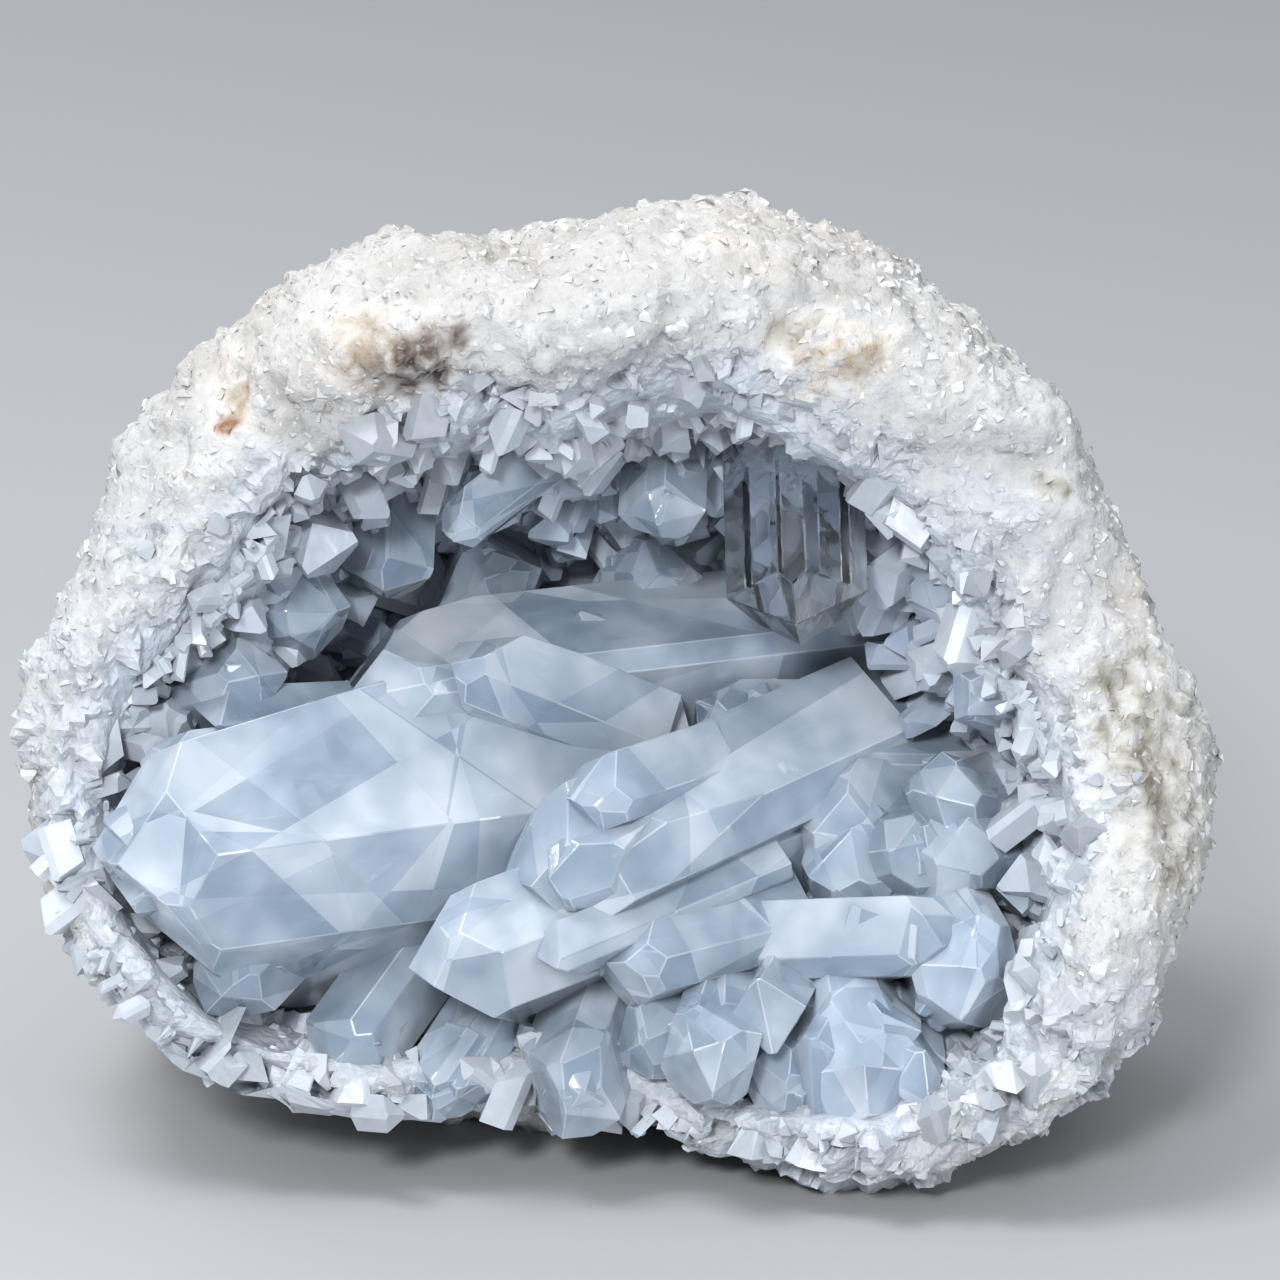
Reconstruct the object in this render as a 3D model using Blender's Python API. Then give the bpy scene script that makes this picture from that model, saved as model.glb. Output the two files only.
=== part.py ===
"""A broken celestite geode that rests on a small flat spot.

A rounded nodule has lost its front, which opens a hollow. The white rind is one stone.
Blue crystals line the hollow, and the largest of them lie across its floor and reach over
the lower lip. All the crystals grew together, so they are one crust.

Shapes are laid out face on to the broken side, in millimetres: u to the right, v up and
w out of the hollow, measured from the middle of the nodule. The broken side leans back.
"""

import math
import random

import bmesh
import bpy
from mathutils import Matrix, Vector, noise

MM = 0.001

# The nodule, face on: its outline, the width of the broken rim and how far the rim's crest
# stands in front of the widest section. Each is a distance in mm against an angle in degrees,
# anticlockwise from the right.
OUTLINE = [
    (0, 49.9), (15, 46.8), (30, 46.9), (45, 45.3), (60, 44.8), (75, 43.5), (90, 41.2),
    (102, 40.4), (115, 43.8), (130, 45.9), (150, 48.2), (165, 47.9), (180, 51.4),
    (200, 53.0), (215, 50.4), (230, 45.2), (245, 39.6), (260, 36.0), (270, 36.0),
    (280, 39.8), (290, 45.0), (305, 50.7), (320, 54.2), (335, 54.6), (350, 52.9),
]
RIM_WIDTH = [
    (0, 17.0), (30, 18.5), (60, 19.5), (90, 20.0), (120, 21.0), (150, 17.0), (180, 11.0),
    (210, 7.0), (240, 5.5), (270, 5.5), (300, 8.0), (330, 13.0),
]
RIM_FORWARD = [
    (0, 14.0), (30, 16.0), (60, 21.0), (90, 24.0), (115, 25.0), (140, 18.0), (180, 12.0),
    (210, 13.0), (240, 11.0), (270, 10.0), (300, 17.0), (330, 19.0),
]
BACK_DEPTH = 42.0
HOLLOW_DEPTH = 23.0
LEAN_BACK = math.radians(16.0)
NODULE_MIDDLE = Vector((-0.42, -8.26, 39.6)) * MM  # puts the origin under the middle of the box

STEPS_AROUND = 56
# Places along the nodule's section are counted by its 14 points, from 0 at the back pole, over
# the rim's crest at 7, to 13 at the bottom of the hollow.
OUTSIDE_PLACES = [0.5, 1.0, 1.5, 2.0, 2.5, 3.0, 3.5, 4.0, 4.5, 5.0, 5.4, 5.8, 6.2]
RIM_PLACES = [6.6, 7.0, 7.4, 7.8, 8.2, 8.7]
HOLLOW_PLACES = [9.3, 9.9, 10.6, 11.3, 12.2]
LAST_PLACE = 13.0
ROUGH_TO, SMOOTH_FROM = 8.0, 9.2  # the rind is rough outside and smooth under the crystals

# The weathered outside: how high each kind of roughness is and how far apart, in mm.
LUMPS = (1.5, 15.0)
KNOBS = (0.9, 6.5)
LEDGES = (0.45, 5.5)
PITS = (1.6, 4.6)

# Local swellings and hollows of the stone: the angle and how far round they spread, the place
# along the section and how far along they spread, and the height in mm.
SWELLINGS = {
    "brow_over_the_hollow": (100, 26, 6.6, 0.55, 2.4),
    "undercut_below_the_brow": (100, 26, 7.9, 0.42, -2.8),
    "stained_dent_in_the_brow": (124, 9, 7.5, 0.5, -1.6),
    "right_shoulder": (28, 16, 5.9, 0.7, 1.2),
    "foot_behind_the_lower_lip": (256, 21, 3.0, 1.0, 5.9),
}

CRUST_THICKNESS = 3.6
CRUST_GAP = 0.5  # between the crust's back and the rind
CRUST_EDGE = 7.75  # the place where the lining starts, on the rim
LINING_ROOT = 1.3  # how far the untrimmed lining reaches into the stone

FACE = Matrix((
    (1.0, 0.0, 0.0),
    (0.0, math.sin(LEAN_BACK), -math.cos(LEAN_BACK)),
    (0.0, math.cos(LEAN_BACK), math.sin(LEAN_BACK)),
))

# The large crystals: where each is rooted, where its tip is, the way across its broad side,
# its width and thickness, the slopes of the two faces that meet at its tip, and how much
# of its front ridge is flat. Lengths are in mm, slopes in degrees.
LARGE_CRYSTALS = {
    "left_blade": ((4, -10, -9), (-45.6, -16.0, 14), (0.05, 1, 0.35), 30, 18, (34, 50), 0.25),
    "centre_block": ((24, 4, -17), (-25.5, -4, 5), (0.1, 1, -0.25), 17, 16, (46, 30), 0.75),
    "right_block": ((36, -8, -12), (6, -7, 1), (0.1, 1, -0.3), 19, 13, (24, 24), 0.9),
    "lower_blade": ((22, -11, -7), (-16.2, -24.5, 16), (0.3, 0.95, 0.1), 14, 12, (22, 50), 0.25),
    "middle_blade": ((22, -4, -8), (-7.5, -16.5, 15), (0.35, 0.9, -0.1), 15, 14, (38, 30), 0.3),
    "lying_chip": ((1.5, -4, 2), (-15.6, 3.2, 9.5), (0.5, 1, 0.6), 8.5, 6.5, (38, 48), 0.3),
    "flat_lens": ((11, -22, 4), (29, -21, 12.5), (-0.1, 1, 0.7), 9, 8, (30, 58), 0.4),
    "clear_wedge": ((15, -20, 2), (-1.5, -23.5, 14), (0.1, 1, 0.3), 11, 9, (50, 34), 0.3),
    "small_cube": ((15, -25, 4), (12.8, -27.6, 17), (1, 0.2, 0.2), 7, 6.6, (16, 20), 0.8),
    "end_on_prism": ((10, -27, 4), (7.6, -32.3, 19.5), (1, 0.5, 0), 10, 9.4, (34, 40), 0.5),
    "milky_lump": ((20, -26, 0), (21.5, -34.5, 16.5), (1, 0.1, 0), 17, 13, (24, 30), 0.5),
    "milky_shoulder": ((28, -20, 0), (31, -26, 14), (1, -0.6, 0), 13, 11, (28, 24), 0.5),
    "floor_right": ((31, -13, -8), (16, -11.5, 3), (0.1, 1, 0.4), 13, 11, (30, 26), 0.5),
    "floor_corner": ((37, -15, -5), (26.5, -14, 7), (0.3, 1, 0.2), 11, 9, (34, 24), 0.4),
    "small_gable": ((28.5, -12, -6), (24, -15.5, 8), (1, 0.2, 0), 10, 7.5, (42, 38), 0.2),
    "lip_prism": ((0, -24, 2), (-5.0, -37.2, 14), (1, -0.4, 0.1), 10, 8, (30, 50), 0.3),
    "lip_plate": ((-8, -25, 2), (-15.5, -36.2, 11), (1, -0.5, 0.2), 9, 6, (52, 28), 0.5),
    "lip_stub": ((-18, -24, 1), (-24.5, -33.0, 10), (1, -0.6, 0), 9, 7.5, (36, 36), 0.4),
    "lip_corner": ((-27, -19, 2), (-34.5, -27.0, 11), (0.7, -0.7, 0), 8.5, 7, (44, 30), 0.4),
    "hanging_prism": ((15.3, 28, 1), (15.9, 4.8, 8.5), (1, 0, 0.12), 12.4, 10, (31, 31), 0.55),
    "hanging_left": ((-19.7, 23, -6), (-20.2, 8.2, -2), (1, 0.1, 0.1), 8.4, 6.5, (26, 34), 0.6),
    "hanging_corner": ((-31, 21, -1), (-29.8, 9.0, 4.5), (1, 0, 0.3), 6.4, 6, (20, 34), 0.6),
    "roof_plate": ((-4, 22, 1), (-14.6, 13.4, 8), (0.4, 1, 0.3), 7.6, 4.6, (26, 44), 0.6),
    "roof_stub": ((4.5, 22, -3), (4.0, 13.5, 4), (1, 0.1, 0.2), 8, 6, (30, 36), 0.5),
    "right_wall_block": ((38, 12, -6), (26.5, 7.5, 6), (0.3, 1, 0.2), 11, 9, (28, 38), 0.5),
    "right_wall_glint": ((39, -2, -2), (30.2, 1.2, 9.5), (0.3, 1, 0.5), 8, 7, (40, 24), 0.4),
    "right_wall_low": ((36, -11, -6), (26.5, -8.8, 6), (0.1, 1, 0.2), 9.5, 8, (30, 40), 0.4),
    "back_right": ((25, 14, -20), (20.5, 6.5, -5), (1, 0.4, 0), 9, 8, (36, 32), 0.4),
    "back_middle": ((4, 12, -21), (2.5, 8.5, -8), (1, 0, 0.2), 11, 8.5, (30, 38), 0.5),
    "back_left": ((-12, 12, -20), (-11, 8.0, -6), (1, 0.3, 0.2), 10, 8, (38, 28), 0.4),
    "left_wall_prism": ((-36, 6, -5), (-24, 7.0, 2.5), (0, 1, 0.3), 8.5, 7, (34, 40), 0.3),
    "left_wall_low": ((-38, -1, 0), (-29.5, 1.5, 8), (0.1, 1, 0.2), 8, 7, (40, 30), 0.4),
}

# The smaller crystals between them stand in rings on the lining.
SMALL_CRYSTAL_RINGS = [
    # how far past the lining's edge, how many, length, width
    (0.7, 25, 4.6, 3.6),
    (1.7, 18, 6.6, 4.8),
    (2.9, 12, 7.6, 5.6),
    (4.3, 5, 8.0, 6.4),
]
SMALL_CRYSTAL_SEED = 7
CORNERED_WIDTH = 7.0  # crystals wider than this have small faces beside the chisel edge


def around(values, angle):
    """The smooth value at an angle, in degrees, of a list of (angle, value) round a ring."""
    angle %= 360.0
    count = len(values)
    at = max(i for i in range(count) if values[i][0] <= angle)
    before, start, end, after = (values[(at + k) % count] for k in (-1, 0, 1, 2))
    share = (angle - start[0]) / ((end[0] - start[0]) % 360.0)
    return smooth_between(before[1], start[1], end[1], after[1], share)


def smooth_between(before, start, end, after, share):
    """A Catmull-Rom step from start to end."""
    slope_in = (end - before) / 2
    slope_out = (after - start) / 2
    square = share * share
    cube = square * share
    return (
        start * (2 * cube - 3 * square + 1)
        + slope_in * (cube - 2 * square + share)
        + end * (3 * square - 2 * cube)
        + slope_out * (cube - square)
    )


def profile(angle):
    """The nodule's section at an angle, as (radius, w) from the back pole round to the hollow's."""
    radius = around(OUTLINE, angle)
    rim = around(RIM_WIDTH, angle)
    crest = around(RIM_FORWARD, angle)
    mouth = radius - rim
    return [
        (0.0, -BACK_DEPTH),
        (0.46 * radius, -0.955 * BACK_DEPTH),
        (0.79 * radius, -0.78 * BACK_DEPTH),
        (0.955 * radius, -0.47 * BACK_DEPTH),
        (radius, -0.08 * BACK_DEPTH),
        (0.99 * radius, 0.45 * crest),
        (radius - 0.22 * rim, 0.86 * crest),
        (radius - 0.58 * rim, crest),
        (radius - 0.90 * rim, 0.80 * crest),
        (mouth + 0.4, 0.30 * crest),
        (0.985 * mouth, -0.30 * HOLLOW_DEPTH),
        (0.80 * mouth, -0.74 * HOLLOW_DEPTH),
        (0.42 * mouth, -0.96 * HOLLOW_DEPTH),
        (0.0, -HOLLOW_DEPTH),
    ]


def on_profile(angle, place):
    """The point (u, v, w) at an angle and a place along the profile, smooth between its points."""
    points = profile(angle)
    at = min(int(place), len(points) - 2)
    share = place - at
    before = points[at - 1] if at else (-points[1][0], points[1][1])
    after = points[at + 2] if at + 2 < len(points) else (-points[-2][0], points[-2][1])
    radius, w = (
        smooth_between(before[k], points[at][k], points[at + 1][k], after[k], share)
        for k in (0, 1)
    )
    turn = math.radians(angle)
    return Vector((radius * math.cos(turn), radius * math.sin(turn), w))


def normal_at(angle, place):
    """Outward from the stone, by small steps along the surface and round it."""
    step = 0.04
    inner = min(max(place, step), LAST_PLACE - step)
    along = on_profile(angle, inner + step) - on_profile(angle, inner - step)
    turned = on_profile(angle + 1, inner) - on_profile(angle - 1, inner)
    return turned.cross(along).normalized()


def ramp(value, low, high):
    share = min(max((value - low) / (high - low), 0.0), 1.0)
    return share * share * (3 - 2 * share)


def weathering(point, place):
    """How far the rough outside stands proud: broad lumps, knobs, blocky ledges and pits."""
    lumps = LUMPS[0] * noise.noise(point / LUMPS[1])
    knobs = KNOBS[0] * noise.noise(point / KNOBS[1] + Vector((9.0, 2.0, 5.0)))
    ledges = LEDGES[0] * (2 * noise.cell(point / LEDGES[1]) - 1)
    pits = PITS[0] * ramp(noise.noise(point / PITS[1] + Vector((3.0, 7.0, 1.0))), 0.30, 0.62)
    rough = ramp(place, 0.0, 1.5) * (1.0 - ramp(place, ROUGH_TO, SMOOTH_FROM))
    return rough * (lumps + knobs + ledges - pits)


def swelling(angle, place):
    """How far the local swellings lift the surface."""
    lifted = 0.0
    for centre, spread, along, reach, height in SWELLINGS.values():
        away = ((angle - centre) / spread) ** 2 + ((place - along) / reach) ** 2
        lifted += height * math.exp(-away)
    return lifted


def rind_point(angle, place):
    """On the stone's own surface."""
    base = on_profile(angle, place)
    proud = weathering(base, place) + swelling(angle % 360.0, place)
    return base + proud * normal_at(angle, place)


def placed(point):
    """From face-on millimetres to the part's own frame."""
    return NODULE_MIDDLE + FACE @ (Vector(point) * MM)


def turned_mesh(name, rows):
    """A closed mesh through rows, each a function of the angle, or a point at either end."""
    mesh = bmesh.new()
    rings = []
    for row in rows:
        if isinstance(row, Vector):
            rings.append([mesh.verts.new(placed(row))])
        else:
            turns = [360.0 * i / STEPS_AROUND for i in range(STEPS_AROUND)]
            rings.append([mesh.verts.new(placed(row(turn))) for turn in turns])
    for low, high in zip(rings, rings[1:]):
        for i in range(STEPS_AROUND):
            j = (i + 1) % STEPS_AROUND
            near, far = low[i % len(low)], low[j % len(low)]
            over, across = high[i % len(high)], high[j % len(high)]
            if near != far:
                mesh.faces.new((near, far, across))
            if over != across:
                mesh.faces.new((near, across, over))
    bmesh.ops.recalc_face_normals(mesh, faces=mesh.faces)
    return new_object(name, mesh)


def new_object(name, mesh):
    data = bpy.data.meshes.new(name)
    mesh.to_mesh(data)
    mesh.free()
    made = bpy.data.objects.new(name, data)
    bpy.context.scene.collection.objects.link(made)
    return made


def rows_between(surface, places):
    return [lambda angle, place=place: surface(angle, place) for place in places]


def make_rind():
    """The stone: lumpy outside, broken rim and smooth hollow, cut flat where it stands."""
    rows = rows_between(rind_point, OUTSIDE_PLACES + RIM_PLACES + HOLLOW_PLACES)
    rind = turned_mesh("rind", [rind_point(0.0, 0.0), *rows, rind_point(0.0, LAST_PLACE)])
    cut_flat_base(rind)
    return rind


def cut_flat_base(stone):
    mesh = bmesh.new()
    mesh.from_mesh(stone.data)
    everything = [*mesh.verts, *mesh.edges, *mesh.faces]
    down = Vector((0, 0, -1))
    cut = bmesh.ops.bisect_plane(
        mesh, geom=everything, dist=1e-7, plane_co=(0, 0, 0), plane_no=down, clear_outer=True
    )
    edges = [e for e in cut["geom_cut"] if isinstance(e, bmesh.types.BMEdge)]
    bmesh.ops.holes_fill(mesh, edges=edges)
    bmesh.ops.recalc_face_normals(mesh, faces=mesh.faces)
    mesh.to_mesh(stone.data)
    mesh.free()


def off_the_rind(angle, place, proud):
    return rind_point(angle, place) + proud * normal_at(angle, place)


def crust_edge(angle):
    """How far down the profile the lining starts, which wanders round the rim."""
    turn = math.radians(angle)
    wander = noise.noise(Vector((2.6 * math.cos(turn), 2.6 * math.sin(turn), 4.0)))
    lapped = math.exp(-(((angle % 360.0 - 250.0) / 45.0) ** 2))
    return CRUST_EDGE + 0.45 * wander - 0.4 * lapped


def lining_point(angle, place):
    """The front of the crystal lining: blocky, and tapering out where it laps over the rim."""
    base = on_profile(angle, place)
    blocky = noise.cell(base / 2.1) - 0.5 + 1.2 * noise.noise(base / 6.0 + Vector((1, 4, 8)))
    edge = crust_edge(angle)
    full = CRUST_THICKNESS * ramp(place, edge - 0.2, edge + 2.0)
    sunk = 0.6 * (1 - ramp(place, edge, edge + 0.4))  # the trim takes away what is sunk
    return off_the_rind(angle, place, full * (1 + 0.38 * blocky) - sunk)


def make_lining():
    """The layer that the crystals stand on, before it is trimmed to the hollow."""
    places = RIM_PLACES[2:] + HOLLOW_PLACES
    behind = rows_between(lambda angle, place: off_the_rind(angle, place, -LINING_ROOT), places)
    front = rows_between(lining_point, places)
    poles = [Vector((0, 0, proud - HOLLOW_DEPTH)) for proud in (-LINING_ROOT, CRUST_THICKNESS)]
    return turned_mesh("crystal_crust", [poles[0], *reversed(behind), *front, poles[1]])


def make_room():
    """The space that crystals may fill: clear of the rind, and opening out past the rim."""

    def wall(angle, place):
        return off_the_rind(angle, place, CRUST_GAP)

    def flare(angle):
        edge = wall(angle, RIM_PLACES[0])
        return edge + Vector((edge.x, edge.y, 0)).normalized() * 9.0 + Vector((0, 0, 3.0))

    rows = [
        Vector((0, 0, 60.0)),
        lambda angle: flare(angle) + Vector((0, 0, 40.0)),
        flare,
        *rows_between(wall, RIM_PLACES + HOLLOW_PLACES),
        Vector((0, 0, -HOLLOW_DEPTH + CRUST_GAP)),
    ]
    room = turned_mesh("room_in_hollow", rows)
    helper(room)
    return room


def cut_crystal(length, width, thickness, tip_slopes, flat_share):
    """A celestite crystal along +Z: four long dome faces, a flat one on each broad side where
    the ridge is worn flat, and two faces of unlike slope that meet in a chisel edge."""
    half_width, half_thick = width / 2, thickness / 2
    ridge = half_thick * (1 + 0.55 * (1 - flat_share))
    dome = Vector((1 / half_width, 1 / ridge, 0))
    planes = [((0, side, 0), (0, side * half_thick, 0)) for side in (-1, 1)]
    planes += [
        ((x * dome.x, y * dome.y, 0), (x * half_width, 0, 0)) for x in (-1, 1) for y in (-1, 1)
    ]
    for side, slope in zip((1, -1), tip_slopes):
        turn = math.radians(90 - slope)
        planes.append(((side * math.cos(turn), 0.06, math.sin(turn)), (0, 0, length)))
        if width > CORNERED_WIDTH:
            planes.append(((side * 0.55, 0.62, 0.56), (0, half_thick * 0.45, length)))
            planes.append(((side * 0.30, -0.78, 0.54), (0, -half_thick * 0.50, length)))
    mesh = bmesh.new()
    size = Matrix.Diagonal((width * 2, thickness * 2, length * 2, 1))
    bmesh.ops.create_cube(mesh, size=1.0, matrix=Matrix.Translation((0, 0, length)) @ size)
    for direction, point in planes:
        everything = [*mesh.verts, *mesh.edges, *mesh.faces]
        cut = bmesh.ops.bisect_plane(
            mesh, geom=everything, dist=1e-6, plane_co=point, plane_no=direction, clear_outer=True
        )
        edges = [e for e in cut["geom_cut"] if isinstance(e, bmesh.types.BMEdge)]
        if edges:
            bmesh.ops.contextual_create(mesh, geom=edges)
    bmesh.ops.recalc_face_normals(mesh, faces=mesh.faces)
    return mesh


def add_crystal(growth, root, tip, across, width, thickness, tip_slopes, flat_share):
    """Cuts one crystal and stands it from root to tip, as a helper in the growth collection."""
    root, tip = Vector(root), Vector(tip)
    along = (tip - root).normalized()
    side = (Vector(across) - along * along.dot(Vector(across))).normalized()
    crystal = cut_crystal((tip - root).length, width, thickness, tip_slopes, flat_share)
    axes = Matrix((side, along.cross(side), along)).transposed().to_4x4()
    crystal.transform(Matrix.Translation(root) @ axes)
    crystal.transform(Matrix.Translation(NODULE_MIDDLE) @ FACE.to_4x4() @ Matrix.Scale(MM, 4))
    made = new_object("growing_crystal", crystal)
    bpy.context.scene.collection.objects.unlink(made)
    growth.objects.link(made)
    helper(made)


def make_growth():
    """Every crystal, each a closed body that its neighbours cross."""
    growth = bpy.data.collections.new("growth")
    bpy.context.scene.collection.children.link(growth)
    for root, tip, across, width, thickness, slopes, flat in LARGE_CRYSTALS.values():
        add_crystal(growth, root, tip, across, width, thickness, slopes, flat)
    draw = random.Random(SMALL_CRYSTAL_SEED)
    for ring, (beyond, count, length, width) in enumerate(SMALL_CRYSTAL_RINGS):
        for i in range(count):
            angle = 360.0 * (i + 0.5 * (ring % 2)) / count + draw.uniform(-3.0, 3.0)
            place = crust_edge(angle) + beyond + draw.uniform(-0.2, 0.2)
            add_small_crystal(growth, draw, angle, place, length, width)
    return growth


def add_small_crystal(growth, draw, angle, place, length, width):
    normal = normal_at(angle, place)
    lean = Vector([draw.uniform(-0.55, 0.55) for _ in range(3)])
    along = (normal + lean).normalized()
    root = rind_point(angle, place) + normal * 0.4
    size = draw.uniform(0.72, 1.25)
    tip = root + along * (length * size)
    across = Vector([draw.uniform(-1, 1) for _ in range(3)])
    slopes = draw.uniform(22, 48), draw.uniform(22, 48)
    wide = width * draw.uniform(0.8, 1.2)
    add_crystal(growth, root, tip, across, wide, wide * draw.uniform(0.7, 0.95), slopes, draw.uniform(0.2, 0.7))


def helper(shape):
    shape.hide_render = True
    shape.display_type = "WIRE"


def make_crust():
    """The lining and every crystal as one body, trimmed to the room in the hollow."""
    crust = make_lining()
    join = crust.modifiers.new("join", "BOOLEAN")
    join.operation = "UNION"
    join.operand_type = "COLLECTION"
    join.collection = make_growth()
    trim = crust.modifiers.new("trim", "BOOLEAN")
    trim.operation = "INTERSECT"
    trim.object = make_room()
    return crust


def material(name, colour, roughness, transmission=0.0):
    made = bpy.data.materials.new(name)
    made.use_nodes = True
    shader = made.node_tree.nodes["Principled BSDF"]
    shader.inputs["Base Color"].default_value = (*colour, 1.0)
    shader.inputs["Roughness"].default_value = roughness
    shader.inputs["Metallic"].default_value = 0.0
    shader.inputs["Transmission Weight"].default_value = transmission
    shader.inputs["IOR"].default_value = 1.62
    return made


def main():
    for old in list(bpy.data.objects):
        bpy.data.objects.remove(old)
    rind = make_rind()
    rind.data.materials.append(material("sugary_white_rind", (0.80, 0.79, 0.77), 0.85))
    crust = make_crust()
    crust.data.materials.append(material("pale_blue_celestite", (0.60, 0.72, 0.88), 0.08, 0.6))


main()
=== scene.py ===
import math
import random

import bmesh
import bpy
import numpy as np
from mathutils import Matrix, Vector, noise
from mathutils.bvhtree import BVHTree


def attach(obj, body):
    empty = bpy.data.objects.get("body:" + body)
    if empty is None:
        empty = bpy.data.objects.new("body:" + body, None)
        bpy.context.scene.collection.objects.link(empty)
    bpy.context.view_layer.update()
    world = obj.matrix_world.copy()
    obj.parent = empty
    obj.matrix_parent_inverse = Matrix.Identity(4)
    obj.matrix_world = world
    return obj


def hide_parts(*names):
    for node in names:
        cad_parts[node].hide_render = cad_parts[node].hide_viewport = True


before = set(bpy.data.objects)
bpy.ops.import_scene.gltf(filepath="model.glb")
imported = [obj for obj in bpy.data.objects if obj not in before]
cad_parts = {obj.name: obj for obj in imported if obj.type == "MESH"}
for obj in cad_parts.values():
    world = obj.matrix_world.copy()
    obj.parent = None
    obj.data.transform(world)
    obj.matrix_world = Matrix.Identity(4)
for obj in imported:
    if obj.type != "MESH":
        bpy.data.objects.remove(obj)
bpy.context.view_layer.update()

# The rind is the nodule's own stone, a shell of white sugary celestite that broke open at the
# front. Its outside is lumpy and chalky, and towards the hollow it turns to clear crystal.
# Shapes are laid out face on to the broken side, in mm: u right, v up and w out of the hollow.
MM = 0.001
LEAN_BACK = math.radians(16.0)  # the broken side leans back by this, towards the camera
NODULE_MIDDLE = Vector((-0.42, -8.26, 39.6)) * MM
FACE = Matrix((
    (1.0, 0.0, 0.0),
    (0.0, math.sin(LEAN_BACK), -math.cos(LEAN_BACK)),
    (0.0, math.cos(LEAN_BACK), math.sin(LEAN_BACK)),
))
STONE_VOXEL = 0.70
SMOOTHING_ROUNDS = 14
UNDER_CRYSTALS = 0.9  # nearer than this to the crust, in mm, the stone is covered
CRISP_FROM = 0.45  # from this share of clear crystal, the stone breaks in crisp facets
# Over these heights above the floor, in mm, grains and crystals begin to stand on the stone.
GRAINS_FROM, CRYSTALS_FROM = (1.2, 3.0), (4.0, 6.5)
# How high each roughness stands, how far apart, and where its noise starts, in mm.
STONE_ROUGHNESS = [(0.62, 4.4, 3.0), (0.42, 2.3, 11.0), (0.30, 1.25, 27.0)]
# Broken grains: how steep each one's face is, how far it stands out and how wide it is, in mm.
CHALKY_GRAINS, GLASSY_GRAINS = (0.42, 0.22, 1.7), (0.62, 0.55, 3.4)
TILT_SEED = 7
# Where clear crystal reaches further over the broken rim: place face on, radii and strength.
GLASSY_RIM = [
    ((-37.0, -29.0), (15.0, 9.0), 1.0),
    ((-47.0, -3.0), (8.0, 15.0), 0.62),
    ((-37.0, 12.0), (9.0, 8.0), 0.5),
    ((36.0, -30.0), (12.0, 9.0), 0.75),
    ((16.0, -40.0), (14.0, 5.0), 0.9),
    ((33.0, 12.0), (9.0, 12.0), 0.5),
    ((12.0, 26.0), (14.0, 6.0), 0.5),
    ((41.0, -2.0), (5.0, 9.0), 0.45),
]
# Earth that stayed in the stone: place face on, radii, strength and colour.
OCHRE, UMBER = (0.44, 0.36, 0.26), (0.09, 0.06, 0.045)
OLIVE, RUST = (0.25, 0.23, 0.17), (0.30, 0.14, 0.07)
EARTH = [
    ((-20.5, 28.0), (5.2, 3.0), 1.3, OCHRE),
    ((-16.4, 27.4), (3.0, 2.3), 1.5, UMBER),
    ((-13.6, 29.8), (2.6, 1.3), 1.2, UMBER),
    ((-21.0, 31.5), (5.0, 2.0), 0.6, OCHRE),
    ((-32.4, 26.0), (2.0, 3.6), 1.1, OCHRE),
    ((-33.2, 22.8), (1.2, 0.8), 1.4, RUST),
    ((-36.5, 19.0), (4.0, 2.0), 0.55, OLIVE),
    ((19.0, 28.8), (5.4, 3.0), 1.15, OCHRE),
    ((14.5, 30.5), (2.8, 1.5), 0.8, OLIVE),
    ((17.0, 25.0), (4.0, 1.4), 0.5, OCHRE),
    ((8.0, 38.0), (3.8, 1.2), 0.6, OCHRE),
    ((-27.0, 36.5), (5.0, 1.2), 0.5, OLIVE),
    ((37.5, 17.5), (2.6, 1.4), 0.9, OLIVE),
    ((45.5, -5.0), (5.0, 9.0), 1.0, OLIVE),
    ((43.0, 0.5), (4.0, 5.0), 0.7, OLIVE),
    ((48.0, -14.0), (3.0, 7.0), 0.8, OLIVE),
    ((37.0, -34.0), (5.0, 2.4), 0.5, OLIVE),
    ((-50.0, -9.0), (1.6, 6.0), 0.4, UMBER),
]


def new_piece(name, mesh):
    """An object on a mesh that bmesh built, which is used up."""
    data = bpy.data.meshes.new(name)
    mesh.to_mesh(data)
    mesh.free()
    piece = bpy.data.objects.new(name, data)
    bpy.context.scene.collection.objects.link(piece)
    return piece


def settle(piece):
    """Makes a piece's modifiers its plain mesh."""
    graph = bpy.context.evaluated_depsgraph_get()
    made = bpy.data.meshes.new_from_object(piece.evaluated_get(graph))
    piece.modifiers.clear()
    piece.data = made


def points_of(piece):
    """A piece's points, one row each, in metres in the part's own frame."""
    found = np.empty(len(piece.data.vertices) * 3)
    piece.data.vertices.foreach_get("co", found)
    return found.reshape(-1, 3)


def face_on(points):
    """Places from the part's own frame to face-on millimetres."""
    return (points - np.array(NODULE_MIDDLE)) @ np.array(FACE) / MM


def ramp(value, low, high):
    """0 below low and 1 above high, smooth between them."""
    share = np.clip((value - low) / (high - low), 0.0, 1.0)
    return share * share * (3 - 2 * share)


def blob(places, middle, radii):
    """1 in the middle of a soft spot on the broken side, falling to 0."""
    across, up = ((places[:, i] - middle[i]) / radii[i] for i in (0, 1))
    return np.exp(-(across ** 2 + up ** 2))


def broken_side(places):
    """1 on the broken side and 0 on the nodule's back."""
    return ramp(places[:, 2], -6.0, 6.0)


def lifted(piece, heights):
    """0 up to the first height above the floor and 1 from the second, in mm."""
    return ramp(points_of(piece)[:, 2] / MM, *heights)


def noise_over(places, apart, start):
    """Noise at each place, with its lumps about this many mm apart."""
    shift = Vector((start, 2 * start, 3 * start))
    return np.array([noise.noise(Vector(place) / apart + shift) for place in places])


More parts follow.
